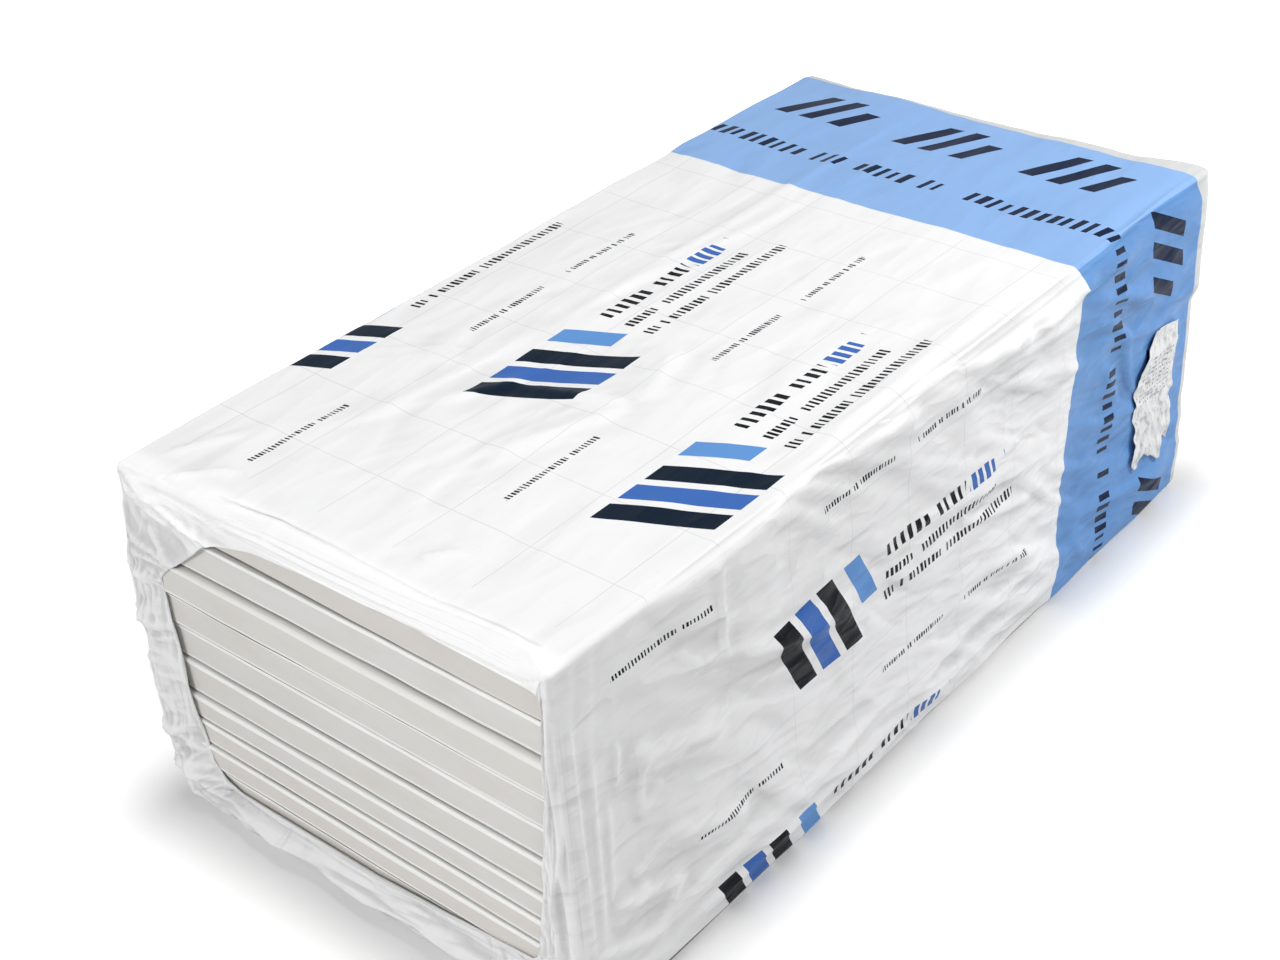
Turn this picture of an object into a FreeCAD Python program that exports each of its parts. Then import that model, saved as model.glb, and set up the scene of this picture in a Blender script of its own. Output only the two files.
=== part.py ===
import FreeCAD
import Part
import Sketcher
import os

# Pack of polyiso insulation boards in a loose shrink film sleeve: six thick boards on five
# thinner ones. The film rolls over the top edges of both ends and leaves them open, with
# slanting lips and folded corners.
# Millimetres. X runs along the boards, and the open end that faces the viewer is at -X.
# The origin is the middle of the footprint on the floor, and +Z points up.

driving = [
    ("board_length", 1200, "one board, along X"),
    ("board_width", 600, "one board, along Y"),
    ("board_thickness", 46, "upper boards: foam core with both facings"),
    ("thin_board_thickness", 34, "lower boards, with both facings"),
    ("facing_thickness", 0.5, "one facing"),
    ("facing_lip", 5, "top facing turned down over both ends of its core"),
    ("stagger_reach", 6, "furthest that a board is pushed out of line, along X"),
    ("film_wall", 1, "film, made thicker than the real one"),
    ("side_slack", 2, "board side to film, which is also the film's inner fold radius"),
    ("top_slack", 19, "air under the film, above the top board"),
    ("end_slack", 2, "furthest board end to the inside of the film lip"),
    ("end_roll", 18, "radius of the film's roll over the top edge of each end"),
    ("top_cover", 3, "flat film lip below the roll"),
    ("bottom_cover", 52, "film lip up over the board ends, at +Y"),
    ("bottom_slant", 22, "further up at -Y"),
    ("left_cover", 40, "film lip in over the board ends at +Y, by the top"),
    ("left_slant", 16, "further in by the bottom"),
    ("right_cover", 5, "film lip in over the board ends at -Y, by the top"),
    ("right_slant", 44, "further in by the bottom"),
    ("gusset_across", 98, "large folded corner of the lip, along Y"),
    ("gusset_down", 115, "large folded corner of the lip, along Z"),
    ("small_gusset", 22, "the lip's two lower folded corners"),
    ("opening_radius", 12, "corners of the end openings"),
    ("label_length", 104, "paper label, along X"),
    ("label_height", 188, "paper label, along Z"),
    ("label_thickness", 0.4, "paper with its glue"),
    ("label_end_gap", 45, "label to the film's far end"),
    ("label_floor_gap", 102, "label above the floor"),
    ("label_corner", 8, "rounded corners of the label"),
    ("label_tilt", 4, "degrees, with the label's top leaning towards +X"),
]

# The boards from the top one down: thickness, and place along X as a share of stagger_reach.
boards = [
    ("board_thickness", 0.0),
    ("board_thickness", 0.15),
    ("board_thickness", -1.0),
    ("board_thickness", -0.1),
    ("board_thickness", 0.45),
    ("board_thickness", 0.05),
    ("thin_board_thickness", -0.5),
    ("thin_board_thickness", -0.7),
    ("thin_board_thickness", -1.0),
    ("thin_board_thickness", -0.35),
    ("thin_board_thickness", 0.2),
]

derived = [
    ("stack_height", " + ".join(thickness for thickness, shift in boards)),
    ("facing_half", "board_length / 2 + facing_thickness"),
    ("film_length", "2 * (facing_half + stagger_reach + end_slack + film_wall)"),
    ("film_width", "board_width + 2 * (side_slack + film_wall)"),
    ("film_height", "stack_height + top_slack + 2 * film_wall"),
    ("opening_top", "film_height / 2 - end_roll - top_cover"),
    ("opening_bottom", "-film_height / 2 + film_wall + bottom_cover"),
    ("opening_left", "board_width / 2 - left_cover"),
    ("opening_right", "-board_width / 2 + right_cover"),
]

doc = FreeCAD.newDocument("insulation_board_pack")
sheet = doc.addObject("Spreadsheet::Sheet", "Sizes")


def fillSheet():
    # Column A names a size, B holds it under its alias, and C says what it is.
    rows = [(alias, str(value), note) for alias, value, note in driving]
    rows += [(alias, "=" + formula, "worked out") for alias, formula in derived]
    for row, (alias, content, note) in enumerate(rows, start=1):
        sheet.set("A%d" % row, alias)
        sheet.set("B%d" % row, content)
        sheet.setAlias("B%d" % row, alias)
        sheet.set("C%d" % row, note)
    doc.recompute()


def size(alias):
    return float(sheet.evalExpression(alias))


def bind(thing, expressions):
    for name, expression in expressions.items():
        thing.setExpression(name, expression)


def originPlane(body, role):
    return [feature for feature in body.Origin.OriginFeatures if feature.Role == role][0]


def newSketch(body, name, role):
    sketch = body.newObject("Sketcher::SketchObject", name)
    sketch.AttachmentSupport = [(originPlane(body, role), "")]
    sketch.MapMode = "FlatFace"
    return sketch


def drawOutline(sketch, corners):
    # A closed outline of straight lines. Each corner is held at two signed distances from
    # the sketch's origin, which are given as expressions.
    points = [FreeCAD.Vector(size(u), size(v), 0) for u, v in corners]
    for start, end in zip(points, points[1:] + points[:1]):
        sketch.addGeometry(Part.LineSegment(start, end), False)
    for line, (u, v) in enumerate(corners):
        previous = (line - 1) % len(corners)
        sketch.addConstraint(Sketcher.Constraint("Coincident", previous, 2, line, 1))
        across = sketch.addConstraint(Sketcher.Constraint("DistanceX", -1, 1, line, 1, points[line].x))
        sketch.setExpression("Constraints[%d]" % across, u)
        up = sketch.addConstraint(Sketcher.Constraint("DistanceY", -1, 1, line, 1, points[line].y))
        sketch.setExpression("Constraints[%d]" % up, v)
    doc.recompute()


def rectangle(width, height):
    # The four corners of a rectangle round the sketch's origin.
    right, top = width + " / 2", height + " / 2"
    left, bottom = "-" + right, "-" + top
    return [(left, bottom), (right, bottom), (right, top), (left, top)]


def edgesAlong(feature, axis):
    # Names of the straight edges that run parallel to an axis.
    names = []
    for number, edge in enumerate(feature.Shape.Edges, start=1):
        if edge.Degenerated or len(edge.Vertexes) < 2:
            continue
        run = edge.Vertexes[1].Point - edge.Vertexes[0].Point
        if run.cross(axis).Length < 1e-6:
            names.append("Edge%d" % number)
    return names


def edgesOfCut(feature, axis, depth):
    # Names of the short edges along an axis that a cut leaves in a wall of a given depth.
    names = edgesAlong(feature, axis)
    return [name for name in names if abs(feature.Shape.getElement(name).Length - depth) < 1e-6]


def shellEdges(feature, pick):
    # Names of the sharp edges of the smallest or largest shell of a hollow solid.
    shell = pick(feature.Shape.Shells, key=lambda skin: skin.BoundBox.DiagonalLength)
    return [
        "Edge%d" % number
        for number, edge in enumerate(feature.Shape.Edges, start=1)
        if any(edge.isSame(other) for other in shell.Edges) and isSharp(feature.Shape, edge)
    ]


def isSharp(shape, edge):
    # Whether two faces meet at an angle along an edge, and not smoothly.
    if edge.Degenerated:
        return False
    middle = edge.valueAt((edge.FirstParameter + edge.LastParameter) / 2)
    faces = shape.ancestorsOfType(edge, Part.Face)
    normals = [face.normalAt(*face.Surface.parameter(middle)) for face in faces]
    return len(normals) == 2 and normals[0].cross(normals[1]).Length > 0.01


def topEndEdges(feature, pick):
    # Names of the sharp edges along Y at the top of a shell, one at each end of the pack.
    along = edgesAlong(feature, FreeCAD.Vector(0, 1, 0))
    names = [name for name in shellEdges(feature, pick) if name in along]
    return [name for name in names if feature.Shape.getElement(name).CenterOfMass.z > 0]


def slab(name, thickness, base, shift):
    # One flat layer of a board, as long and as wide as the board.
    layer = doc.addObject("Part::Box", name)
    layer.Label = name
    bind(layer, {
        "Length": "Sizes.board_length",
        "Width": "Sizes.board_width",
        "Height": thickness,
        "Placement.Base.x": "-Sizes.board_length / 2 + %s * Sizes.stagger_reach" % shift,
        "Placement.Base.y": "-Sizes.board_width / 2",
        "Placement.Base.z": base,
    })
    return layer


def turnedFacing(name, base, shift):
    # A board's top facing, with a lip turned down over each end of the core. Its sketch lies at
    # the middle of the core's top.
    body = doc.addObject("PartDesign::Body", name)
    body.Label = name
    profile = newSketch(body, name + "_profile", "XZ_Plane")
    end, core, skin = "Sizes.facing_half", "Sizes.board_length / 2", "Sizes.facing_thickness"
    lip, level = "-Sizes.facing_lip", "0 * Sizes.facing_lip"
    drawOutline(profile, [
        ("-" + end, lip),
        ("-" + core, lip),
        ("-" + core, level),
        (core, level),
        (core, lip),
        (end, lip),
        (end, skin),
        ("-" + end, skin),
    ])
    sheetPad = body.newObject("PartDesign::Pad", name + "_sheet")
    sheetPad.Profile = profile
    sheetPad.Midplane = True
    sheetPad.setExpression("Length", "Sizes.board_width")
    body.Tip = sheetPad
    bind(body, {
        "Placement.Base.x": "%s * Sizes.stagger_reach" % shift,
        "Placement.Base.z": base,
    })
    return body


def board(index):
    # A foam core with a facing bonded to each side. Board 01 is the top one.
    name = "board_%02d" % (index + 1)
    thickness, shift = boards[index]
    floor = "Sizes.film_wall" + "".join(" + Sizes." + below for below, place in boards[index + 1:])
    facing = "Sizes.facing_thickness"
    core = "Sizes.%s - 2 * Sizes.facing_thickness" % thickness
    return [
        slab(name + "_bottom_facing", facing, floor, shift),
        slab(name + "_core", core, "%s + %s" % (floor, facing), shift),
        turnedFacing(name + "_top_facing", "%s + Sizes.%s - %s" % (floor, thickness, facing), shift),
    ]


def filmSleeve():
    # A closed film box, hollow inside, that rolls over the top edges of both ends and is folded
    # round the stack along its other edges. Its end walls are cut open to slanting lips with
    # folded corners. Its sketches lie at the pack's middle.
    body = doc.addObject("PartDesign::Body", "film_sleeve")
    body.Label = "film_sleeve"

    section = newSketch(body, "SleeveSection", "YZ_Plane")
    drawOutline(section, rectangle("Sizes.film_width", "Sizes.film_height"))
    block = body.newObject("PartDesign::Pad", "SleeveBlock")
    block.Profile = section
    block.Midplane = True
    block.setExpression("Length", "Sizes.film_length")
    doc.recompute()

    hollow = body.newObject("PartDesign::SubtractiveBox", "Hollow")
    bind(hollow, {
        "Length": "Sizes.film_length - 2 * Sizes.film_wall",
        "Width": "Sizes.film_width - 2 * Sizes.film_wall",
        "Height": "Sizes.film_height - 2 * Sizes.film_wall",
        "AttachmentOffset.Base.x": "-Sizes.film_length / 2 + Sizes.film_wall",
        "AttachmentOffset.Base.y": "-Sizes.film_width / 2 + Sizes.film_wall",
        "AttachmentOffset.Base.z": "-Sizes.film_height / 2 + Sizes.film_wall",
    })
    hollow.AttachmentSupport = [(originPlane(body, "XY_Plane"), "")]
    hollow.MapMode = "FlatFace"
    doc.recompute()

    innerRoll = body.newObject("PartDesign::Fillet", "InnerRoll")
    innerRoll.Base = (hollow, topEndEdges(hollow, min))
    innerRoll.setExpression("Radius", "Sizes.end_roll - Sizes.film_wall")
    doc.recompute()
    outerRoll = body.newObject("PartDesign::Fillet", "OuterRoll")
    outerRoll.Base = (innerRoll, topEndEdges(innerRoll, max))
    outerRoll.setExpression("Radius", "Sizes.end_roll")
    doc.recompute()

    innerFold = body.newObject("PartDesign::Fillet", "InnerFold")
    innerFold.Base = (outerRoll, shellEdges(outerRoll, min))
    innerFold.setExpression("Radius", "Sizes.side_slack")
    doc.recompute()
    outerFold = body.newObject("PartDesign::Fillet", "OuterFold")
    outerFold.Base = (innerFold, shellEdges(innerFold, max))
    outerFold.setExpression("Radius", "Sizes.side_slack + Sizes.film_wall")
    doc.recompute()

    opening = newSketch(body, "EndOpening", "YZ_Plane")
    top, bottom = "Sizes.opening_top", "Sizes.opening_bottom"
    left, right = "Sizes.opening_left", "Sizes.opening_right"
    small = "Sizes.small_gusset"
    lowLeft, lowRight = left + " - Sizes.left_slant", right + " + Sizes.right_slant"
    raised = bottom + " + Sizes.bottom_slant"
    drawOutline(opening, [
        ("%s + 2 * %s" % (lowRight, small), raised),
        ("%s - %s" % (lowLeft, small), bottom),
        (lowLeft, "%s + %s" % (bottom, small)),
        (left, "%s - Sizes.gusset_down" % top),
        ("%s - Sizes.gusset_across" % left, top),
        (right, top),
        (lowRight, "%s + %s" % (raised, small)),
    ])
    cut = body.newObject("PartDesign::Pocket", "EndCut")
    cut.Profile = opening
    cut.Type = "ThroughAll"
    cut.Midplane = True
    doc.recompute()

    rounded = body.newObject("PartDesign::Fillet", "RoundedOpening")
    rounded.Base = (cut, edgesOfCut(cut, FreeCAD.Vector(1, 0, 0), size("film_wall")))
    rounded.setExpression("Radius", "Sizes.opening_radius")
    body.Tip = rounded
    body.setExpression("Placement.Base.z", "Sizes.film_height / 2")
    doc.recompute()
    return body


def packLabel():
    # A paper label on the film's outer face at -Y, near the far end.
    body = doc.addObject("PartDesign::Body", "pack_label")
    body.Label = "pack_label"
    outline = newSketch(body, "LabelOutline", "XZ_Plane")
    drawOutline(outline, rectangle("Sizes.label_length", "Sizes.label_height"))
    paper = body.newObject("PartDesign::Pad", "LabelPaper")
    paper.Profile = outline
    paper.setExpression("Length", "Sizes.label_thickness")
    doc.recompute()

    rounded = body.newObject("PartDesign::Fillet", "LabelCorners")
    rounded.Base = (paper, edgesAlong(paper, FreeCAD.Vector(0, 1, 0)))
    rounded.setExpression("Radius", "Sizes.label_corner")
    body.Tip = rounded
    body.Placement.Rotation = FreeCAD.Rotation(FreeCAD.Vector(0, 1, 0), size("label_tilt"))
    bind(body, {
        "Placement.Base.x": "Sizes.film_length / 2 - Sizes.label_end_gap - Sizes.label_length / 2",
        "Placement.Base.y": "-Sizes.film_width / 2",
        "Placement.Base.z": "Sizes.label_floor_gap + Sizes.label_height / 2",
    })
    doc.recompute()
    return body


def checkDocument(parts):
    for thing in doc.Objects:
        if "Invalid" in thing.State or "Error" in thing.State:
            raise RuntimeError("%s failed: %s" % (thing.Name, thing.State))
    for piece in parts:
        if piece.Shape.isNull() or not piece.Shape.isValid() or len(piece.Shape.Solids) != 1:
            raise RuntimeError("%s has no single valid solid" % piece.Label)


fillSheet()
parts = []
for index in range(len(boards)):
    parts += board(index)
parts.append(filmSleeve())
parts.append(packLabel())
doc.recompute()
checkDocument(parts)

os.makedirs("parts", exist_ok=True)
for piece in parts:
    piece.Shape.exportStep("parts/%s.step" % piece.Label)
    box = piece.Shape.BoundBox
    litres = piece.Shape.Volume / 1e6
    print("%s: %.1f x %.1f x %.1f mm, %.4f litres" % (piece.Label, box.XLength, box.YLength, box.ZLength, litres))
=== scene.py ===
import math

import bpy
import numpy as np
from mathutils import Matrix, Vector


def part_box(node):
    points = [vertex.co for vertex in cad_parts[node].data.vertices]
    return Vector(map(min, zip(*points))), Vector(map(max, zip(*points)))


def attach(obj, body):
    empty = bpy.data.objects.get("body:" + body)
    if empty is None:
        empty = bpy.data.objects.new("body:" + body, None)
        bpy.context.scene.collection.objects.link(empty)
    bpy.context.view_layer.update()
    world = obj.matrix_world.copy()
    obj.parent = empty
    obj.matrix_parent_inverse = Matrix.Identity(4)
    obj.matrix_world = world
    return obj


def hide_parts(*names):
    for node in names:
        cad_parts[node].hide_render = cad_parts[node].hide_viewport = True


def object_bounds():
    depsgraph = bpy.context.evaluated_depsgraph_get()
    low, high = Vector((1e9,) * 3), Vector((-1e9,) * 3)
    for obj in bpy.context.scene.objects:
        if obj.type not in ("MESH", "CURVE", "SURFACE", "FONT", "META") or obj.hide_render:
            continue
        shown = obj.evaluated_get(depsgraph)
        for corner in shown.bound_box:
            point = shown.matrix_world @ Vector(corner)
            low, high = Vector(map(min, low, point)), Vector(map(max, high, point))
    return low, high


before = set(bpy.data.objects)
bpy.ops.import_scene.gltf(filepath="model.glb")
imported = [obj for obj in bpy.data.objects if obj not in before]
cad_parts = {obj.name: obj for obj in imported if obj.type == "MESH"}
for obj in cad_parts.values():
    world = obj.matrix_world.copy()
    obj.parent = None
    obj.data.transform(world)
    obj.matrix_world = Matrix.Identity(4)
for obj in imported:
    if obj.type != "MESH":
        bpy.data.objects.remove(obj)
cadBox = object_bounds()
boardCount = 11


# Smooth noise, folds and mesh helpers

def smooth(t):
    # 0 to 1 with level ends: 3t^2 - 2t^3 on t held between 0 and 1.
    t = np.clip(t, 0.0, 1.0)
    return t * t * (3.0 - 2.0 * t)


def bell(t):
    # A round hump: exp(-t^2).
    return np.exp(-t * t)


def softNoise(x, y, seed):
    # Random values on a unit lattice from -1 to 1, blended with level joins in both directions.
    table = np.random.default_rng(seed).uniform(-1.0, 1.0, (64, 64))
    column, row = np.floor(x).astype(int), np.floor(y).astype(int)
    across, up = smooth(x - column), smooth(y - row)
    c0, c1, r0, r1 = column % 64, (column + 1) % 64, row % 64, (row + 1) % 64
    low = table[r0, c0] * (1 - across) + table[r0, c1] * across
    high = table[r1, c0] * (1 - across) + table[r1, c1] * across
    return low * (1 - up) + high * up


def layeredNoise(x, y, seed, layers=3):
    # The sum of noises, each twice as fine and half as high as the one before.
    total = 0.0
    for layer in range(layers):
        total = total + softNoise(x * 2 ** layer, y * 2 ** layer, seed + layer) / 2 ** layer
    return total


def creaseNoise(x, y, seed):
    # Sharp crests where a soft noise crosses zero: 1 - 2|n|, rounded at the crest.
    n = softNoise(x, y, seed) + 0.4 * softNoise(2.1 * x, 2.1 * y, seed + 1)
    return 1.0 - 2.0 * np.sqrt(n * n + 0.004)


def oneFold(x, y, start, end, width, height, crest=0.25):
    # A straight ridge from start to end: its height falls off as exp(-distance / width) to each
    # side, with the crest rounded, and dies out softly towards both ends.
    run = np.hypot(end[0] - start[0], end[1] - start[1])
    ux, uy = (end[0] - start[0]) / run, (end[1] - start[1]) / run
    along = (x - start[0]) * ux + (y - start[1]) * uy
    side = (y - start[1]) * ux - (x - start[0]) * uy
    reach = smooth((along / run) * 4.0) * smooth((1.0 - along / run) * 4.0)
    away = np.sqrt(side * side + (crest * width) ** 2) - crest * width
    return height * reach * np.exp(-away / width)


def rotated(x, y, degrees):
    turn = math.radians(degrees)
    return x * math.cos(turn) + y * math.sin(turn), y * math.cos(turn) - x * math.sin(turn)


def putMesh(name, points, faces, material, smoothShade=True):
    # One mesh object at the origin, riding on the only body.
    mesh = bpy.data.meshes.new(name)
    mesh.from_pydata(points.reshape(-1, 3).tolist(), [], faces)
    mesh.polygons.foreach_set("use_smooth", [smoothShade] * len(mesh.polygons))
    mesh.materials.append(material)
    mesh.update()
    piece = bpy.data.objects.new(name, mesh)
    bpy.context.scene.collection.objects.link(piece)
    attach(piece, "root")
    return piece


def gridFaces(rows, columns, closed, flip=False, first=0):
    # Four-cornered faces of a grid of points stored row by row. A closed grid joins its last
    # column to its first.
    count = columns if closed else columns - 1
    r, c = np.meshgrid(np.arange(rows - 1), np.arange(count), indexing="ij")
    right = (c + 1) % columns
    corners = [r * columns + c, r * columns + right, (r + 1) * columns + right, (r + 1) * columns + c]
    if flip:
        corners = corners[::-1]
    return (np.stack(corners, axis=-1).reshape(-1, 4) + first).tolist()


# Shader graph: one class wraps a socket, the other holds the nodes of a material

def operation(kind, swapped=False):
    # A method that puts its values through a Math node of this kind.
    def apply(wire, *others):
        values = (wire, *others)
        return wire.graph.maths(kind, *(values[::-1] if swapped else values))
    return apply


class Wire:
    def __init__(self, graph, socket):
        self.graph = graph
        self.socket = socket

    __add__ = __radd__ = operation("ADD")
    __sub__ = operation("SUBTRACT")
    __rsub__ = operation("SUBTRACT", swapped=True)
    __mul__ = __rmul__ = operation("MULTIPLY")
    __truediv__ = operation("DIVIDE")
    __lt__ = operation("LESS_THAN")
    __gt__ = operation("GREATER_THAN")
    size = operation("ABSOLUTE")
    whole = operation("FLOOR")
    rest = operation("FRACT")
    root = operation("SQRT")
    most = operation("MAXIMUM")
    least = operation("MINIMUM")

    def eased(self):
        # 3t^2 - 2t^3 on the value held between 0 and 1.
        held = self.most(0.0).least(1.0)
        return held * held * (3 - held * 2)


class Graph:
    def __init__(self, name, **shaderValues):
        self.material = bpy.data.materials.new(name)
        self.material.use_nodes = True
        self.tree = self.material.node_tree
        self.shader = self.tree.nodes["Principled BSDF"]
        for socket, value in shaderValues.items():
            self.shader.inputs[socket.replace("_", " ")].default_value = value

    def add(self, kind, settings, inputs, output=0):
        # One node: its settings first, then a value or a wire for each named socket.
        node = self.tree.nodes.new(kind)
        for name, value in settings.items():
            setattr(node, name, value)
        for name, value in inputs.items():
            if isinstance(value, Wire):
                self.tree.links.new(value.socket, node.inputs[name])
            else:
                node.inputs[name].default_value = value
        return Wire(self, node.outputs[output])

    def maths(self, operation, *values):
        return self.add("ShaderNodeMath", {"operation": operation}, dict(enumerate(values)))

    def noise(self, vector, scale, detail=2.0, roughness=0.5):
        inputs = {"Vector": vector, "Scale": scale, "Detail": detail, "Roughness": roughness}
        return self.add("ShaderNodeTexNoise", {}, inputs, "Fac")

    def stretched(self, vector, scale, turn=0.0):
        inputs = {"Vector": vector, "Scale": scale, "Rotation": (0, 0, turn)}
        return self.add("ShaderNodeMapping", {}, inputs)

    def parts(self, vector):
        # The X, Y and Z of a vector.
        split = self.tree.nodes.new("ShaderNodeSeparateXYZ")
        self.tree.links.new(vector.socket, split.inputs[0])
        return [Wire(self, output) for output in split.outputs]

    def paint(self, under, over, mask):
        # The colour over laid on the colour under where the mask is 1.
        settings = {"data_type": "RGBA", "clamp_factor": True}
        return self.add("ShaderNodeMix", settings, {"Factor": mask, 6: under, 7: over}, 2)

    def relief(self, height, distance, strength=1.0):
        inputs = {"Height": height, "Distance": distance, "Strength": strength}
        return self.add("ShaderNodeBump", {}, inputs)

    def feed(self, **sockets):
        for name, wire in sockets.items():
            self.tree.links.new(wire.socket, self.shader.inputs[name.replace("_", " ")])
        return self.material


def shade(hexColour):
    # A screen colour such as "D3D1CC" as linear red, green, blue and full alpha.
    parts = [int(hexColour[i:i + 2], 16) / 255 for i in (0, 2, 4)]
    linear = [p / 12.92 if p <= 0.04045 else ((p + 0.055) / 1.055) ** 2.4 for p in parts]
    return (*linear, 1.0)


# Camera, light and floor

view = dict(
    place=(-1.5331, -1.2770, 1.5471),   # metres
    aim=(-0.0645, 0.0672, 0.2360),
    roll=-4.38,                         # degrees
    lens=55.72,
)
studio = dict(
    worldLight=0.35,
    # Each lamp: power in watts, size and place in metres, and what it points at.
    lamps=dict(
        key=(14.0, 0.7, (-0.50, -0.05, 2.65), (-0.1, 0.0, 0.2)),
        fill=(23.6, 0.45, (-2.6, -0.30, 1.62), (-0.5, 0.0, 0.25)),
        side=(33.0, 0.5, (1.50, -1.45, 1.75), (0.15, -0.3, 0.25)),
    ),
    floorColour="E4E4E4",
    # Glow that brightens the floor as the camera sees it: a little by the object, then more over a first
    # distance from it, and more over a second one, so that it paints a shadow round the object.
    floorGlowAndShadow=(0.05, (0.44, 0.12), (0.32, 1.5)),
    floorHalf=30.0,
)


def buildCamera():
    eye, aim = Vector(view["place"]), Vector(view["aim"])
    forward = (aim - eye).normalized()
    level = forward.cross(Vector((0, 0, 1))).normalized()
    upright = level.cross(forward)
    turn = math.radians(view["roll"])
    right = level * math.cos(turn) + upright * math.sin(turn)
    up = right.cross(forward)
    data = bpy.data.cameras.new("camera")
    data.lens = view["lens"]
    data.sensor_width = 36.0
    camera = bpy.data.objects.new("camera", data)
    axes = Matrix((right, up, -forward)).transposed()
    camera.matrix_world = Matrix.Translation(eye) @ axes.to_4x4()
    bpy.context.scene.collection.objects.link(camera)
    bpy.context.scene.camera = camera


def seenRays(graph):
    # 1 for the rays that show the background: straight to the camera, mirrored or through glass.
    rays = graph.tree.nodes.new("ShaderNodeLightPath")
    seen = Wire(graph, rays.outputs["Is Camera Ray"])
    mirrored = Wire(graph, rays.outputs["Is Glossy Ray"])
    through = Wire(graph, rays.outputs["Is Transmission Ray"])
    return seen.most(mirrored).most(through)


def buildStudio():
    scene = bpy.context.scene
    scene.view_settings.view_transform = "Standard"
    world = bpy.data.worlds.new("studio")
    world.use_nodes = True
    scene.world = world
    graph = Graph.__new__(Graph)
    graph.tree = world.node_tree
    background = graph.tree.nodes["Background"]
    background.inputs["Color"].default_value = (1, 1, 1, 1)
    light = studio["worldLight"]
    strength = seenRays(graph) * (1 - light) + light
    graph.tree.links.new(strength.socket, background.inputs["Strength"])

    for name, (power, size, place, target) in studio["lamps"].items():
        light = bpy.data.lights.new(name, "AREA")
        light.shape = "SQUARE"
        light.size = size
        light.energy = power
        lamp = bpy.data.objects.new(name, light)
        lamp.location = place
        aim = Vector(target) - lamp.location
        lamp.rotation_euler = aim.to_track_quat("-Z", "Y").to_euler()
        scene.collection.objects.link(lamp)

    half = studio["floorHalf"]
    mesh = bpy.data.meshes.new("floor")
    corners = [(-half, -half, 0), (half, -half, 0), (half, half, 0), (-half, half, 0)]
    mesh.from_pydata(corners, [], [(0, 1, 2, 3)])
    grey = shade(studio["floorColour"])
    floorGraph = Graph("floor", Roughness=0.9, Specular_IOR_Level=0.1, Base_Color=grey)
    x, y = floorGraph.parts(floorGraph.add("ShaderNodeTexCoord", {}, {}, "Object"))[:2]
    low, high = cadBox
    offX = (x.size() - high[0]).most(0.0)
    offY = (y.size() - high[1]).most(0.0)
    away = (offX * offX + offY * offY).root()
    least, (nearLift, nearReach), (farLift, farReach) = studio["floorGlowAndShadow"]
    # Painted shadow: the glow is least by the object and grows with the distance from it.
    lift = (away / nearReach).eased() * nearLift + (away / farReach).eased() * farLift + least
    lift = seenRays(floorGraph) * lift
    floorGraph.shader.inputs["Emission Strength"].default_value = 1.0
    white = floorGraph.paint((0, 0, 0, 1), (1, 1, 1, 1), lift)
    mesh.materials.append(floorGraph.feed(Emission_Color=white))
    floor = bpy.data.objects.new("floor", mesh)
    scene.collection.objects.link(floor)


buildCamera()
buildStudio()
print("camera, light and floor are in place")


# Film sleeve: shape

sleeve = dict(
    halfWidth=0.3035,       # metres, from the pack's middle to the film
    height=0.4685,
    topFold=0.0075,         # radius of the long top edges
    bottomFold=0.013,       # radius of the long bottom edges
    endX=cadBox[1][0] + 0.0005,     # end planes at -endX and +endX
    wall=0.0008,
    lipRows=60,
    farLipRows=22,
    bodyRows=(36, 170),     # rows on the crinkled first part of the body and on the rest
    crinkled=0.100,         # length of that first part
    coarse=5,               # the inner skin has every fifth point of the outer one
    late=0.018,             # how much higher the far end's swelling starts on the inner skin
    offFloor=(0.0002, 0.0006),      # lowest place of the outer and of the inner skin
)

# Columns round the section, from the middle of the underside towards -Y and back.
sectionColumns = dict(
    underRight=8, bottomRight=7, rightSide=86, topRight=9, top=84,
    topLeft=8, leftSide=110, bottomLeft=7, underLeft=6,
)

# The near lip's free edge: where on the sleeve's outline it hangs from (side, place along that
# side) and where its edge lies in the end plane (y, z), all in metres.
nearOpening = [
    ("bottom", -0.18, -0.172, 0.074),
    ("bottom", -0.3, -0.236, 0.078),
    ("right", 0.03, -0.249, 0.090),
    ("right", 0.176, -0.264, 0.176),
    ("right", 0.316, -0.285, 0.316),
    ("right", 0.44, -0.2965, 0.4325),
    ("top", -0.294, -0.290, 0.447),
    ("top", -0.219, -0.219, 0.4485),
    ("top", -0.117, -0.117, 0.4505),
    ("top", -0.006, -0.006, 0.4475),
    ("top", 0.09, 0.092, 0.4405),
    ("top", 0.160, 0.160, 0.422),
    ("top", 0.27, 0.172, 0.415),
    ("left", 0.45, 0.205, 0.3865),
    ("left", 0.41, 0.243, 0.3535),
    ("left", 0.375, 0.260, 0.3335),
    ("left", 0.345, 0.2595, 0.3185),
    ("left", 0.226, 0.256, 0.226),
    ("left", 0.137, 0.250, 0.137),
    ("left", 0.06, 0.243, 0.080),
    ("left", 0.012, 0.230, 0.062),
    ("bottom", 0.25, 0.214, 0.055),
    ("bottom", 0.116, 0.112, 0.053),
    ("bottom", -0.012, -0.012, 0.058),
]

farOpening = [
    ("bottom", 0.0, 0.0, 0.048),
    ("bottom", -0.27, -0.24, 0.052),
    ("right", 0.03, -0.262, 0.075),
    ("right", 0.23, -0.268, 0.23),
    ("right", 0.40, -0.262, 0.385),
    ("top", -0.27, -0.232, 0.425),
    ("top", 0.0, 0.0, 0.440),
    ("top", 0.2, 0.19, 0.432),
    ("left", 0.43, 0.252, 0.375),
    ("left", 0.3, 0.266, 0.3),
    ("left", 0.1, 0.262, 0.1),
    ("left", 0.02, 0.248, 0.062),
    ("bottom", 0.2, 0.2, 0.048),
]


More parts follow.
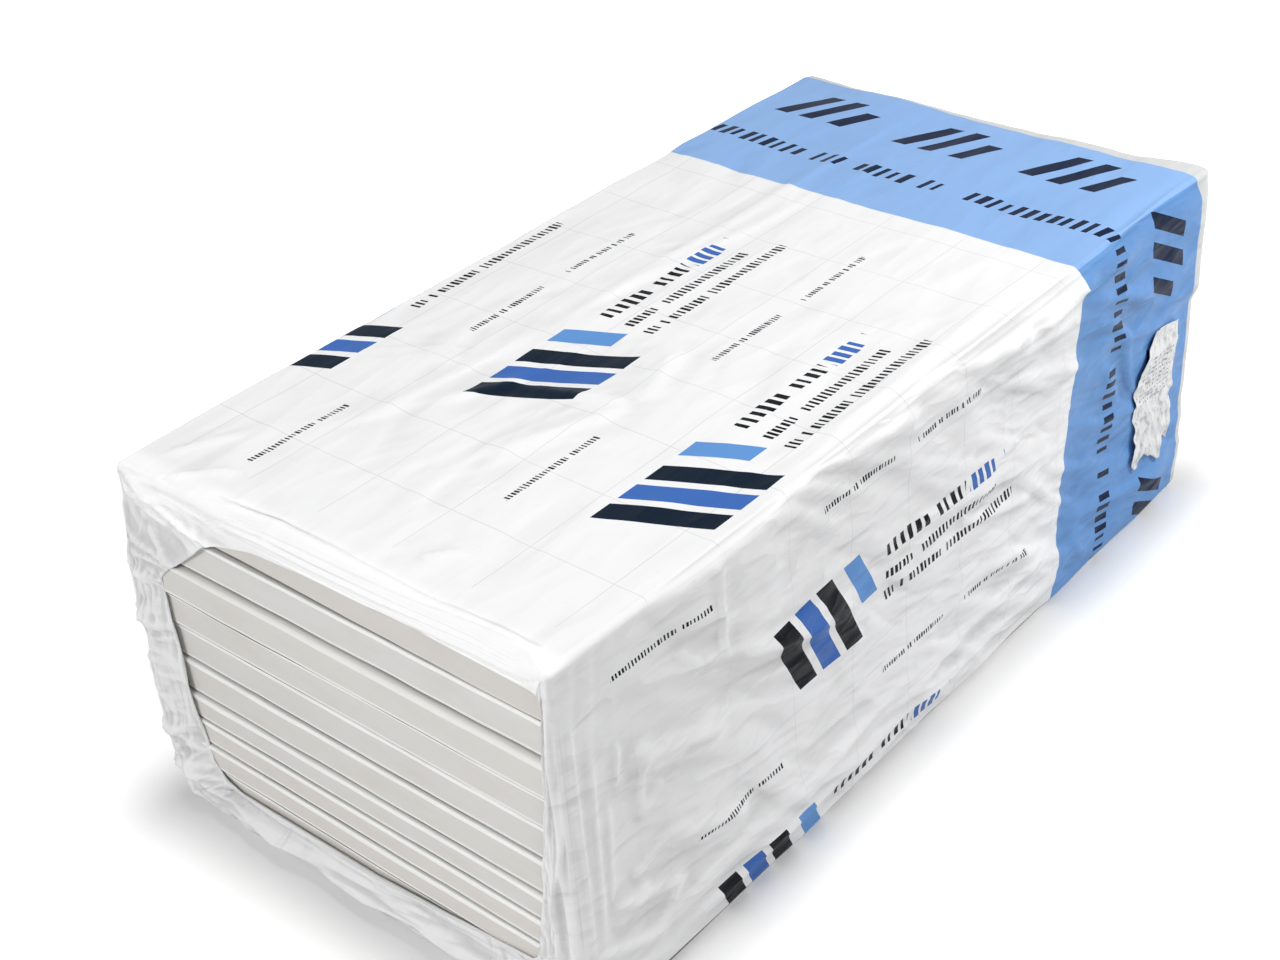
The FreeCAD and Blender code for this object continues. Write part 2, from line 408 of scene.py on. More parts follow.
def sectionOutline():
    # The sleeve's section as straight runs joined by quarter circles. Returns y, z, the outward
    # normal and the distance round the outline, which is 0 in the middle of the top and grows
    # towards -Y.
    a, h = sleeve["halfWidth"], sleeve["height"]
    t, b = sleeve["topFold"], sleeve["bottomFold"]
    n = sectionColumns
    runs = [
        ("line", (0, 0), (-(a - b), 0), (0, -1), n["underRight"]),
        ("arc", (-(a - b), b), b, (-90, -180), n["bottomRight"]),
        ("line", (-a, b), (-a, h - t), (-1, 0), n["rightSide"]),
        ("arc", (-(a - t), h - t), t, (180, 90), n["topRight"]),
        ("line", (-(a - t), h), (a - t, h), (0, 1), n["top"]),
        ("arc", (a - t, h - t), t, (90, 0), n["topLeft"]),
        ("line", (a, h - t), (a, b), (1, 0), n["leftSide"]),
        ("arc", (a - b, b), b, (0, -90), n["bottomLeft"]),
        ("line", (a - b, 0), (0, 0), (0, -1), n["underLeft"]),
    ]
    parts = []
    for kind, start, second, third, count in runs:
        t = np.arange(count) / count
        if kind == "line":
            y = start[0] + (second[0] - start[0]) * t
            z = start[1] + (second[1] - start[1]) * t
            ny, nz = np.full(count, float(third[0])), np.full(count, float(third[1]))
        else:
            angle = np.radians(third[0] + (third[1] - third[0]) * t)
            ny, nz = np.cos(angle), np.sin(angle)
            y, z = start[0] + second * ny, start[1] + second * nz
        parts.append(np.stack([y, z, ny, nz]))
    y, z, ny, nz = np.concatenate(parts, axis=1)
    steps = np.hypot(np.roll(y, -1) - y, np.roll(z, -1) - z)
    way = np.concatenate([[0.0], np.cumsum(steps)])
    middle = np.interp(0.0, y[z > h - 1e-6], way[:-1][z > h - 1e-6])
    return y, z, ny, nz, middle - way


outlineY, outlineZ, outlineNy, outlineNz, outlineWay = sectionOutline()
columns = len(outlineY)
aroundWay = outlineWay[:-1]
perimeter = outlineWay[0] - outlineWay[-1]


def wayOf(side, place):
    # Distance round the outline of a place on one side: y on the top or bottom, z on a side.
    a, h = sleeve["halfWidth"], sleeve["height"]
    if side == "top":
        return -place
    if side == "right":
        return a + (h - place)
    if side == "left":
        return -(a + (h - place))
    return a + h + (a + place) if place < 0 else -(a + h + (a - place))


def lipEdge(opening):
    # The lip's free edge for each column: straight between the given points, then rounded by
    # averaging five places up to 7 mm apart.
    ways = np.array([wayOf(side, place) for side, place, y, z in opening])
    order = np.argsort(ways)
    ways = ways[order]
    ys = np.array([y for side, place, y, z in opening])[order]
    zs = np.array([z for side, place, y, z in opening])[order]
    offsets = (-0.007, -0.0035, 0.0, 0.0035, 0.007)
    y = sum(np.interp(aroundWay + d, ways, ys, period=perimeter) for d in offsets) / len(offsets)
    z = sum(np.interp(aroundWay + d, ways, zs, period=perimeter) for d in offsets) / len(offsets)
    return y, z


def onSide(ny, nz):
    # How far each point belongs to the top, the right side (-Y) and the left side (+Y).
    return np.clip(nz, 0, 1) ** 2, np.clip(-ny, 0, 1) ** 2, np.clip(ny, 0, 1) ** 2


def nearRoll():
    # The roll over the near end for each column, as its reach along the pack and its drop: wide
    # on the top between the two corners, small at the upright edges, and medium underneath.
    a = sleeve["halfWidth"]
    top, right, left = onSide(outlineNy, outlineNz)
    under = np.clip(-outlineNz, 0, 1) ** 2
    wide = smooth((outlineY + a - 0.004) / 0.05) * smooth((0.175 - outlineY) / 0.09)
    reach = 0.0055 + 0.022 * top * wide + 0.005 * under + 0.002 * right
    return reach, np.minimum(reach, 0.018)


def farRoll():
    top, right, left = onSide(outlineNy, outlineNz)
    reach = 0.0065 + 0.006 * top * smooth((0.28 - np.abs(outlineY)) / 0.08)
    return reach, reach


def slackFolds(x, y, turn, length, width, seed):
    # Long folds that run at the turn from X, from 0 in the valleys to 1 on the sharp crests, with
    # their courses bent by a noise.
    u, w = rotated(x, y, turn)
    bent = w / width + 0.9 * softNoise(u / length * 1.3, w / width * 0.4, seed + 5)
    strength = 0.6 + 0.5 * softNoise(u / length * 1.7 + 4.0, w / width * 0.7, seed + 8)
    crest = np.clip(0.30 + 0.70 * creaseNoise(u / length, bent, seed), 0.0, 1.0)
    return crest * strength


def rollCrease(around, along):
    # The line where the top film starts to roll over the near end: a sharp valley, then a bead.
    y = -around
    course = -0.5805 + 0.0030 * softNoise(y * 9, y * 0, 71) - 0.22 * np.clip(y - 0.08, 0, 1) ** 1.2
    past = course - along
    there = smooth((0.165 - y) / 0.05) * smooth((y + 0.292) / 0.05)
    fading = 0.45 + 0.55 * smooth((y + 0.06) / 0.12)
    valley = -0.0042 * np.exp(-np.abs(past) / 0.0026) * fading
    bead = 0.0030 * bell((past - 0.0080) / 0.0060)
    strips = 0.0
    for first, lean, high, seed in rollStrips:
        # Each strip rises slowly towards the lip and drops sharply, on a wandering course.
        t = (past - first - lean * (y + 0.06) - 0.0022 * softNoise(y * 7, y * 0, 90 + seed)) / 0.0058
        uneven = 0.7 + 0.5 * softNoise(y * 11, y * 0, 95 + seed)
        strips = strips + high * np.clip(t, 0, 1) * smooth((1.24 - t) / 0.24) * uneven
    return there * (valley + bead + strips)


def wrinkles(around, along):
    # Height of the film's folds above its plain outline, in metres, for distances round the
    # outline (0 in the middle of the top, growing towards -Y) and along the pack.
    a, h = sleeve["halfWidth"], sleeve["height"]
    onTop = 1 - smooth((np.abs(around) - a + 0.004) / 0.012)
    onRight = smooth((around - a + 0.003) / 0.012) * (1 - smooth((around - a - h + 0.012) / 0.012))
    onLeft = smooth((-around - a + 0.003) / 0.012) * (1 - smooth((-around - a - h + 0.012) / 0.012))
    up = a + h - np.abs(around)                 # height above the floor on the sides
    height = np.zeros_like(around)

    # Top: lies almost flat, with loose facets by the near left part and a long lengthwise crease.
    x, y = along, -around
    top = 0.0024 * layeredNoise(x * 5, y * 7, 11)
    loose = bell((x + 0.20) / 0.30) * bell((y - 0.05) / 0.20)
    top += 0.0042 * slackFolds(x, y, 14, 0.20, 0.060, 12) * loose
    top += 0.0026 * slackFolds(x, y, -35, 0.11, 0.040, 16) * loose
    top += 0.0024 * slackFolds(x, y, -8, 0.22, 0.045, 15)
    for fold in topFolds:
        top += 1.9 * oneFold(x, y, *fold)
    height += onTop * top

    # The long top edge on the right: its rounding comes and goes along the pack.
    edge = bell((around - a - 0.001) / 0.015)
    worn = 0.5 + 0.7 * softNoise(along * 9, along * 0, 18)
    height -= 0.0055 * edge * worn * smooth((along + 0.30) / 0.2)

    # Right side: slanting slack waves, stress lines along the foot and upright folds by the end.
    slack = smooth((along + 0.54) / 0.16)
    fineSlack = smooth((along + 0.47) / 0.30)
    side = 0.0100 * slackFolds(along, up, -22, 0.34, 0.090, 21) * slack
    side += 0.0062 * slackFolds(along, up, -30, 0.19, 0.045, 31) * (0.35 * slack + 0.65 * fineSlack)
    side += 0.0024 * slackFolds(along, up, -16, 0.11, 0.022, 41) * fineSlack
    foot = bell((up - 0.06) / 0.09)
    side += 0.0055 * slackFolds(along, up, 5, 0.36, 0.050, 51) * foot
    upright = bell((along + 0.60) / 0.050) * (0.35 + 0.65 * smooth((up - 0.05) / 0.15))
    side += 0.0024 * slackFolds(up, along, 0, 0.40, 0.026, 28) * upright
    for fold in rightFolds:
        side += 1.5 * oneFold(along, up, *fold)
    side += 0.0020 * slackFolds(along, up, 4, 0.22, 0.018, 52) * bell((up - 0.035) / 0.030)
    side *= 1 - 0.65 * smooth((along - 0.53) / 0.06)
    # The film is drawn in along the foot, where it turns under the boards.
    side *= 0.35 + 0.65 * smooth((up - 0.010) / 0.070)
    height += onRight * side

    # Left side, which the near view hides: the same kind of slack, a little calmer.
    other = 0.0085 * slackFolds(along, up, 18, 0.32, 0.085, 61)
    other += 0.0050 * slackFolds(along, up, 26, 0.17, 0.042, 71)
    height += onLeft * other

    # The film bears on the boards behind it, so no fold goes deeper than the slack there.
    deepest = -0.0022 - 0.010 * onTop
    return np.where(height > deepest, height, deepest + 0.2 * (height - deepest))


# Strips on the near roll: distance from the crease, how it leans over the width, height, seed.
rollStrips = [
    (0.0065, 0.030, 0.0010, 5),
    (0.0145, 0.012, 0.0015, 6),
    (0.0225, 0.022, 0.0013, 7),
    (0.0310, 0.006, 0.0014, 8),
]

# Single folds: start, end, width and height in metres. On the top the places are x and y.
topFolds = [
    ((-0.20, 0.108), (0.60, 0.100), 0.006, 0.0022),
    ((-0.44, 0.150), (-0.14, 0.115), 0.007, 0.0020),
    ((-0.15, 0.112), (0.30, 0.060), 0.008, 0.0018),
    ((-0.40, -0.010), (-0.22, -0.080), 0.012, 0.0030),
    ((-0.26, 0.060), (-0.22, -0.080), 0.010, 0.0024),
    ((-0.22, -0.080), (-0.10, -0.040), 0.012, 0.0026),
    ((-0.34, 0.110), (-0.24, 0.050), 0.010, 0.0022),
    ((-0.58, 0.270), (-0.49, 0.225), 0.005, 0.0022),
    ((-0.60, 0.235), (-0.545, 0.170), 0.006, 0.0026),
    ((-0.55, -0.085), (-0.51, -0.120), 0.004, 0.0016),
    ((0.30, 0.050), (0.45, 0.046), 0.004, 0.0014),
    ((-0.30, -0.290), (0.28, -0.270), 0.010, 0.0030),
]

# On the right side the places are x and the height above the floor.
rightFolds = [
    ((0.04, 0.462), (0.20, 0.442), 0.008, 0.0085),
    ((0.17, 0.441), (0.34, 0.452), 0.007, 0.0080),
    ((0.08, 0.440), (0.30, 0.412), 0.009, 0.0050),
    ((-0.16, 0.462), (-0.02, 0.448), 0.009, 0.0055),
    ((0.14, 0.400), (0.32, 0.338), 0.009, 0.0050),
    ((0.04, 0.262), (0.22, 0.205), 0.009, 0.0050),
    ((-0.06, 0.315), (0.14, 0.272), 0.012, 0.0050),
    ((0.02, 0.190), (0.26, 0.120), 0.010, 0.0048),
    ((-0.38, 0.345), (-0.18, 0.268), 0.014, 0.0065),
    ((-0.53, 0.315), (-0.37, 0.260), 0.013, 0.0060),
    ((-0.497, 0.284), (-0.440, 0.274), 0.006, 0.0024),
    ((-0.382, 0.475), (-0.373, 0.335), 0.004, 0.0034),
    ((-0.410, 0.358), (-0.365, 0.344), 0.005, 0.0026),
    ((-0.408, 0.355), (-0.440, 0.392), 0.005, 0.0022),
    ((-0.565, 0.152), (-0.440, 0.108), 0.008, 0.0048),
    ((-0.490, 0.190), (-0.340, 0.126), 0.012, 0.0055),
    ((-0.52, 0.080), (-0.10, 0.100), 0.014, 0.0060),
    ((-0.50, 0.040), (-0.05, 0.052), 0.012, 0.0055),
    ((-0.10, 0.070), (0.28, 0.120), 0.010, 0.0050),
    ((-0.05, 0.045), (0.25, 0.050), 0.009, 0.0050),
    ((0.30, 0.430), (0.50, 0.352), 0.009, 0.0055),
    ((0.32, 0.360), (0.54, 0.290), 0.008, 0.0045),
    ((0.30, 0.250), (0.50, 0.190), 0.009, 0.0040),
    ((0.30, 0.120), (0.56, 0.060), 0.010, 0.0045),
    ((-0.588, 0.080), (-0.590, 0.440), 0.005, 0.0018),
    ((-0.572, 0.100), (-0.566, 0.380), 0.006, 0.0020),
    ((-0.556, 0.150), (-0.548, 0.290), 0.006, 0.0016),
    ((-0.538, 0.290), (-0.530, 0.345), 0.005, 0.0024),
    ((-0.595, 0.110), (-0.480, 0.060), 0.008, 0.0044),
    ((-0.590, 0.060), (-0.460, 0.030), 0.008, 0.0044),
    ((-0.560, 0.120), (-0.500, 0.150), 0.006, 0.0028),
    ((-0.512, 0.230), (-0.498, 0.330), 0.007, 0.0030),
    ((-0.512, 0.230), (-0.470, 0.262), 0.006, 0.0024),
    ((-0.530, 0.165), (-0.470, 0.185), 0.006, 0.0028),
    ((-0.505, 0.060), (-0.455, 0.120), 0.007, 0.0030),
]

# On the near lip the places are y and the height above the floor, in the end plane.
lipFolds = [
    ((0.310, 0.474), (0.130, 0.412), 0.0028, 0.0085),
    ((0.310, 0.462), (0.135, 0.402), 0.0026, 0.0070),
    ((0.306, 0.450), (0.150, 0.396), 0.0024, 0.0050),
    ((0.310, 0.392), (0.205, 0.347), 0.0040, 0.0060),
    ((0.262, 0.412), (0.240, 0.355), 0.0045, 0.0040),
    ((0.300, 0.365), (0.238, 0.350), 0.0040, 0.0040),
    ((0.312, 0.345), (0.255, 0.322), 0.0050, 0.0050),
    ((0.330, 0.300), (0.262, 0.250), 0.0060, 0.0045),
    ((0.322, 0.250), (0.275, 0.130), 0.0050, 0.0045),
    ((0.330, 0.200), (0.262, 0.215), 0.0050, 0.0040),
    ((0.300, 0.175), (0.285, 0.060), 0.0045, 0.0045),
    ((0.325, 0.130), (0.250, 0.090), 0.0050, 0.0050),
    ((0.310, 0.060), (0.235, 0.058), 0.0050, 0.0055),
    ((0.290, 0.095), (0.240, 0.030), 0.0045, 0.0045),
    ((0.300, 0.020), (-0.050, 0.052), 0.0045, 0.0055),
    ((0.260, 0.040), (-0.200, 0.020), 0.0050, 0.0060),
    ((0.160, 0.018), (-0.240, 0.048), 0.0040, 0.0045),
    ((0.040, 0.045), (-0.290, 0.035), 0.0045, 0.0055),
    ((-0.060, 0.052), (-0.290, 0.018), 0.0040, 0.0045),
    ((-0.300, 0.455), (-0.280, 0.030), 0.0040, 0.0040),
    ((-0.306, 0.300), (-0.262, 0.040), 0.0045, 0.0035),
    ((-0.310, 0.200), (-0.300, 0.020), 0.0040, 0.0030),
    ((-0.290, 0.130), (-0.250, 0.080), 0.0045, 0.0030),
]


def lipWrinkles(around, share, y, z, near):
    # Height of the folds on a lip, out of the end plane. share runs from 0 at the roll to 1 at
    # the free edge, so a fold of around alone runs straight in from the outer edge.
    seed = 40 if near else 60
    onTop = bell(np.clip(0.43 - z, 0, None) / 0.02) * smooth((0.16 - y) / 0.04)
    inward = share * 0.05
    folds = 0.0040 * slackFolds(inward, around, 0, 0.06, 0.036, seed) * smooth(share * 3)
    folds += 0.0050 * slackFolds(around, inward, 4, 0.15, 0.016, seed + 4) * smooth(share * 4)
    folds = folds * (1 - onTop)
    if near:
        for fold in lipFolds:
            folds += 1.4 * oneFold(y, z, *fold)
        crumpled = smooth((y - 0.235) / 0.03) * smooth((0.40 - z) / 0.08)
        crumpled = crumpled + 0.6 * smooth((0.075 - z) / 0.02)
        turnedY, turnedZ = rotated(y, z, 62)
        facets = np.clip(creaseNoise(turnedY * 24, turnedZ * 11, 47), -0.6, 1.0)
        facets = facets + 0.4 * np.clip(creaseNoise(turnedY * 46 + 3, turnedZ * 26, 49), -0.6, 1.0)
        folds += 0.0034 * facets * crumpled * smooth(share * 4)
    hem = 0.0020 * bell((1 - share) / 0.10) * (1 - onTop)
    if near:
        # The free edge is drawn in to the boards, all but under the top's roll.
        left = smooth((y - 0.2) / 0.02)
        drawn = 0.0050 + left * (0.0015 + 0.0038 * bell((z - 0.255) / 0.050))
        drawn = drawn * smooth((share - 0.25) / 0.75) * (1 - onTop)
        folds = np.maximum(folds * (1 - 0.35 * smooth((share - 0.6) / 0.4)), 0.0) - drawn
    return 0.002 * smooth(share * 2) + folds + hem


def bulges(points, late=0.0):
    # Slow bulges of the whole sleeve. The left side flares out beside the near end, the foot of
    # the right side lifts there, and the far end stands out, most over the upper part of its
    # right edge. On the inner skin that part starts higher, so that its coarse faces stay inside.
    x, y, z = points[..., 0], points[..., 1], points[..., 2]
    nearEnd = np.exp(-np.clip(x + 0.62, 0, None) / 0.16)
    low = smooth((0.46 - z) / 0.20) * smooth((z + 0.004) / 0.05)
    flare = 0.025 * nearEnd * low * smooth((y - 0.20) / 0.10)
    swelling = smooth((z - 0.288 - late) / 0.018) * smooth((x - 0.50) / 0.10) * smooth((-y - 0.22) / 0.08)
    lift = 0.004 * nearEnd * smooth((-y - 0.24) / 0.06) * smooth((0.05 - z) / 0.05)
    moved = points.copy()
    moved[..., 0] = x + (0.004 + 0.007 * swelling) * smooth((x - 0.60) / 0.01)
    beyond = np.maximum(y + flare - 0.322, 0.0)
    moved[..., 1] = y + flare - 0.55 * beyond - 0.005 * swelling
    moved[..., 2] = z + lift
    return moved


def lipRows(rows, edge, roll, near):
    # A lip for each column: a quarter of an ellipse over the end of the pack, then a straight run
    # in the end plane to the free edge, at even steps from the body (row 0) to the free edge.
    reach, drop = roll
    arc = (reach + drop) * math.pi / 4
    startY, startZ = outlineY - outlineNy * drop, outlineZ - outlineNz * drop
    flat = np.hypot(edge[0] - startY, edge[1] - startZ)
    whole = arc + flat
    way = np.linspace(0, 1, rows)[:, None] * whole
    angle = np.clip(way / arc, 0, 1) * math.pi / 2
    share = np.clip((way - arc) / flat, 0, 1)
    outward = -1.0 if near else 1.0
    x = outward * (sleeve["endX"] - reach + reach * np.sin(angle))
    y = startY + outlineNy * drop * np.cos(angle) + (edge[0] - startY) * share
    z = startZ + outlineNz * drop * np.cos(angle) + (edge[1] - startZ) * share
    upright = np.cos(angle)
    normal = np.stack([outward * np.sin(angle), outlineNy * upright, outlineNz * upright], axis=-1)
    ways = np.broadcast_to(aroundWay, y.shape)
    folded = lipWrinkles(ways, share, y, z, near) * smooth((way - 0.4 * arc) / (0.6 * arc + 1e-6))
    body = wrinkles(ways, np.broadcast_to(outward * (sleeve["endX"] - reach), y.shape)) * np.cos(angle) ** 2
    along = outward * (sleeve["endX"] - reach + way)
    return np.stack([x, y, z], axis=-1), normal, folded + body + rollCrease(ways, along), along


def bodyRows(rows):
    # The sleeve between its two rolls, with closer rows on its crinkled first part.
    close, wide = rows
    start, end = -sleeve["endX"] + nearRoll()[0], sleeve["endX"] - farRoll()[0]
    turn = -sleeve["endX"] + sleeve["crinkled"]
    first = start + (turn - start) * (np.arange(close) / close)[:, None]
    rest = turn + (end - turn) * np.linspace(0, 1, wide)[:, None]
    x = np.concatenate([first, rest])
    y, z = np.broadcast_to(outlineY, x.shape), np.broadcast_to(outlineZ, x.shape)
    normal = np.stack([np.zeros_like(x), y * 0 + outlineNy, z * 0 + outlineNz], axis=-1)
    ways = np.broadcast_to(aroundWay, x.shape)
    return np.stack([x, y, z], axis=-1), normal, wrinkles(ways, x) + rollCrease(ways, x), x


def sleeveGrid():
    # All rows from the near lip's free edge to the far lip's: places, normals, fold heights and
    # the distance along the unfolded film.
    near = lipRows(sleeve["lipRows"], lipEdge(nearOpening), nearRoll(), True)
    body = bodyRows(sleeve["bodyRows"])
    far = lipRows(sleeve["farLipRows"], lipEdge(farOpening), farRoll(), False)
    return [np.concatenate([n[:0:-1], b, f[1:]]) for n, b, f in zip(near, body, far)]


def nearby(values, reach, combine):
    # The mean or the least value, as combine says, over the square of points up to reach away.
    steps = range(2 * reach + 1)
    across = combine([np.roll(values, step - reach, axis=1) for step in steps], axis=0)
    padded = np.pad(across, ((reach, reach), (0, 0)), mode="edge")
    return combine([padded[step:step + len(values)] for step in steps], axis=0)


def foldShade(points, normals, heights):
    # How deep each point lies in the folds, from -1 on a crest to 1 in a valley. One part is how
    # sharply the film bends: the gap from the point to the middle of its neighbours over the
    # square of their distance. The other part is its depth under the average near it.
    padded = np.pad(points, ((1, 1), (0, 0), (0, 0)), mode="edge")
    pairs = ((np.roll(points, 1, axis=1), np.roll(points, -1, axis=1)), (padded[:-2], padded[2:]))
    bend = 0.0
    for one, other in pairs:
        gap = np.sum(((one + other) / 2 - points) * normals, axis=-1)
        bend = bend + 2 * gap / (np.sum((other - one) ** 2, axis=-1) / 4 + 1e-7)
    deep = (nearby(heights, 5, np.mean) - heights) / 0.0035
    folded = 0.5 * np.clip(bend / 100, -1.0, 1.0) + 0.6 * np.clip(deep, -1.0, 1.0)
    # On the near lip folds show less where it hangs from the top, and more elsewhere.
    lip = folded[:sleeve["lipRows"]]
    lip *= np.where(outlineNz > 0.5, 0.6, 1.2)
    # The gusset in the top left corner of the near end is double film; it is painted greyer, painted shade
    # from the folds over it.
    y, z = points[:sleeve["lipRows"], :, 1], points[:sleeve["lipRows"], :, 2]
    under = smooth((0.428 - 0.25 * (0.30 - y) - z) / 0.010)
    lip += 0.30 * smooth((y - 0.165) / 0.02) * under * smooth((z - 0.325) / 0.02)
    return np.clip(folded, -1.0, 1.0)


def buildSleeve(material):
    # A fine outer skin and a coarse inner skin, joined along the two free edges. The inner skin
    # lies one wall under the lowest fold near each of its points.
    places, normals, heights, along = sleeveGrid()
    rows = len(places)
    step = sleeve["coarse"]
    outer = bulges(places + normals * heights[..., None])
    inset = nearby(heights, step, np.min) - sleeve["wall"]
    inner = bulges(places + normals * inset[..., None], sleeve["late"])[::step, ::step]
    outer[..., 2] = np.maximum(outer[..., 2], sleeve["offFloor"][0])
    inner[..., 2] = np.maximum(inner[..., 2], sleeve["offFloor"][1])
    innerRows, innerColumns = inner.shape[:2]
    firstInner = rows * columns
    faces = gridFaces(rows, columns, closed=True, flip=True)
    faces += gridFaces(innerRows, innerColumns, closed=True, first=firstInner)
    for outerRow, innerRow, flip in ((0, 0, False), (rows - 1, innerRows - 1, True)):
        for k in range(innerColumns):
            fine = [outerRow * columns + (k * step + i) % columns for i in range(step + 1)]
            coarse = [firstInner + innerRow * innerColumns + j % innerColumns for j in (k + 1, k)]
            faces.append((fine + coarse)[::-1] if flip else fine + coarse)
    points = np.concatenate([outer.reshape(-1, 3), inner.reshape(-1, 3)])
    piece = putMesh("film_sleeve_printed", points, faces, material)
    # The fold shade feeds the film's colour: painted highlights on crests, painted shade in valleys.
    bent = np.zeros(len(points))
    bent[:firstInner] = foldShade(outer, normals, heights).ravel()
    piece.data.attributes.new("folded", "FLOAT", "POINT").data.foreach_set("value", bent)

    # The film's own map: distance round and along the unfolded sheet, in metres.
    fineWay = np.broadcast_to(outlineWay, (rows, columns + 1))
    fineAlong = np.concatenate([along, along[:, :1]], axis=1)
    r, c = np.meshgrid(np.arange(rows - 1), np.arange(columns), indexing="ij")
    corners = [(r + 1, c), (r + 1, c + 1), (r, c + 1), (r, c)]
    mapped = np.stack([np.stack([fineWay[i], fineAlong[i]], axis=-1) for i in corners], axis=2).reshape(-1, 2)
    layer = piece.data.uv_layers.new(name="sheet")
    everything = np.zeros((len(piece.data.loops), 2))
    everything[:len(mapped)] = mapped
    layer.data.foreach_set("uv", everything.ravel())
    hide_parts("film_sleeve")
    return piece


# Film sleeve: print and gloss

filmPrint = dict(
    film="F4F4F5",
    band="8FB6E9",
    shadedSideBand="6A99D3",
    rim="D3D4D4",
    navy="02182B",
    shadedSideNavy="02060F",
    bandNavy="001636",
    middleBlue="3F6CB8",
    lightBlue="6397D6",
    ink="04060C",
    bandStart=0.298,        # metres along X, where the blue band starts
    bandEnd=0.601,
    gridPitch=0.105,
    rimEnd=0.622,
    gridLine=0.0010,
    gridShift=(0.052, 1.522),       # round the pack and along it
    gridStart=-0.552,
    bandStep=0.19,          # one group of bars round the blue band
    repeat=0.2696,          # one print repeat round the pack
)


def filmMaterial():
    p = filmPrint
    graph = Graph("film", Roughness=0.36, Coat_Weight=0.03, Coat_Roughness=0.16, Specular_IOR_Level=0.06)
    mapped = graph.add("ShaderNodeUVMap", {"uv_map": "sheet"}, {})
    around, along = graph.parts(mapped)[:2]

    def between(value, low, high):
        return (value > low) * (value < high)

    # Fine square grid on the white part.
    line = p["gridLine"] / p["gridPitch"]
    gridRound = ((around + p["gridShift"][0]) / p["gridPitch"]).rest() < line
    gridAlong = ((along + p["gridShift"][1]) / p["gridPitch"]).rest() < line
    # The band's first edge leans on the sides, and beyond its last one a strip of the film is bare.
    bandStart = p["bandStart"] - ((around.size() - 0.32) / 0.45).eased() * 0.022
    bandEnd = p["bandEnd"] - ((around + 0.25) / 0.5).eased() * 0.016
    bandEnd = bandEnd + ((around - 0.30) / 0.04).eased() * 0.013
    inBand = between(along, bandStart, bandEnd)
    onSheet = between(along, p["gridStart"], bandStart)
    soft = graph.noise(mapped, 9.0)
    onSides = around.size() > sleeve["halfWidth"]
    gridMask = gridRound.most(gridAlong) * onSheet * (0.25 + 0.55 * soft)
    gridMask = gridMask * (1 - onSides * (0.85 - 0.55 * ((along + 0.45) / 0.3).eased()))
    colour = graph.paint(shade(p["film"]), shade("C9C9CC"), gridMask)
    # The roll over the near end, where the film lies double, is painted whiter: a painted highlight.
    # The crests of folds get a painted highlight too.
    paintedRollHighlight = ((-0.572 - along) / 0.02).eased() * (1 - onSides)
    colour = graph.paint(colour, (1, 1, 1, 1), paintedRollHighlight * 0.85)
    folded = graph.add("ShaderNodeAttribute", {"attribute_name": "folded"}, {}, "Fac")
    colour = graph.paint(colour, (1, 1, 1, 1), (folded * -1).most(0.0) * 0.16)
    colour = graph.paint(colour, shade(p["band"]), inBand)
    # On the sides the band is painted darker: painted shade, a shaded copy of the same print.
    colour = graph.paint(colour, shade(p["shadedSideBand"]), inBand * onSides)
    colour = graph.paint(colour, shade(p["rim"]), between(along, bandEnd, p["rimEnd"]))

    # Each repeat round the pack is pushed along by half a motif, as bricks are laid.
    repeats = around / p["repeat"] + 0.5
    cell = repeats.whole()
    place = (repeats.rest() - 0.5) * p["repeat"]
    odd = (cell / 2).rest() * 2
    shifted = along + odd * 0.10

    def bar(u, v, centre, length, across, width, lean):
        # A leaning bar, centred at (centre, across): it slides along v as it goes along u.
        slid = v - (u - across) * lean
        inLength = between(slid, centre - length / 2, centre + length / 2)
        return inLength * between(u, across - width / 2, across + width / 2)

    bars = [
        (-0.262, 0.030, -0.040, 0.110, "navy"),
        (-0.221, 0.030, -0.040, 0.110, "middleBlue"),
        (-0.180, 0.030, -0.040, 0.110, "navy"),
        (-0.139, 0.030, -0.062, 0.066, "lightBlue"),
    ]
    white = 1 - inBand
    for centre, length, across, width, ink in bars:
        mask = bar(place, shifted, centre, length, across, width, 0.5) * white
        colour = graph.paint(colour, shade(p[ink]), mask)
        # On the sides the navy is painted darker: painted shade against the sheen there.
        if ink == "navy":
            colour = graph.paint(colour, shade(p["shadedSideNavy"]), mask * onSides)

    def hatch(u, v, start, end, across, high, pitch, seed):
        # A row of upright strokes of uneven width and height, with gaps here and there.
        part = (v - (u - across) * 0.2) / pitch + seed
        each = {"W": part.whole() + 0.37 * seed}
        uneven = graph.add("ShaderNodeTexWhiteNoise", {"noise_dimensions": "1D"}, each)
        spread = (uneven * 7).rest()
        stroke = part.rest() < (0.34 + 0.34 * uneven)
        tall = (u - across).size() < (0.34 + 0.16 * spread) * high
        return stroke * tall * (spread > 0.10) * between(v, start, end)

    rows = [
        (-0.095, 0.055, -0.074, 0.0210, 0.0135, 3, "ink"),
        (0.063, 0.135, -0.074, 0.0230, 0.0135, 4, "middleBlue"),
        (-0.095, 0.120, -0.040, 0.0130, 0.0072, 5, "ink"),
        (-0.095, 0.160, -0.012, 0.0130, 0.0072, 7, "ink"),
        (-0.430, -0.290, 0.086, 0.0080, 0.0046, 11, "ink"),
        (-0.100, 0.020, 0.086, 0.0080, 0.0046, 15, "ink"),
        (0.060, 0.185, 0.086, 0.0080, 0.0046, 19, "ink"),
    ]
    for start, end, across, high, pitch, seed, ink in rows:
        mask = hatch(place, shifted, start, end, across, high, pitch, seed)
        colour = graph.paint(colour, shade(p[ink]), mask * white)

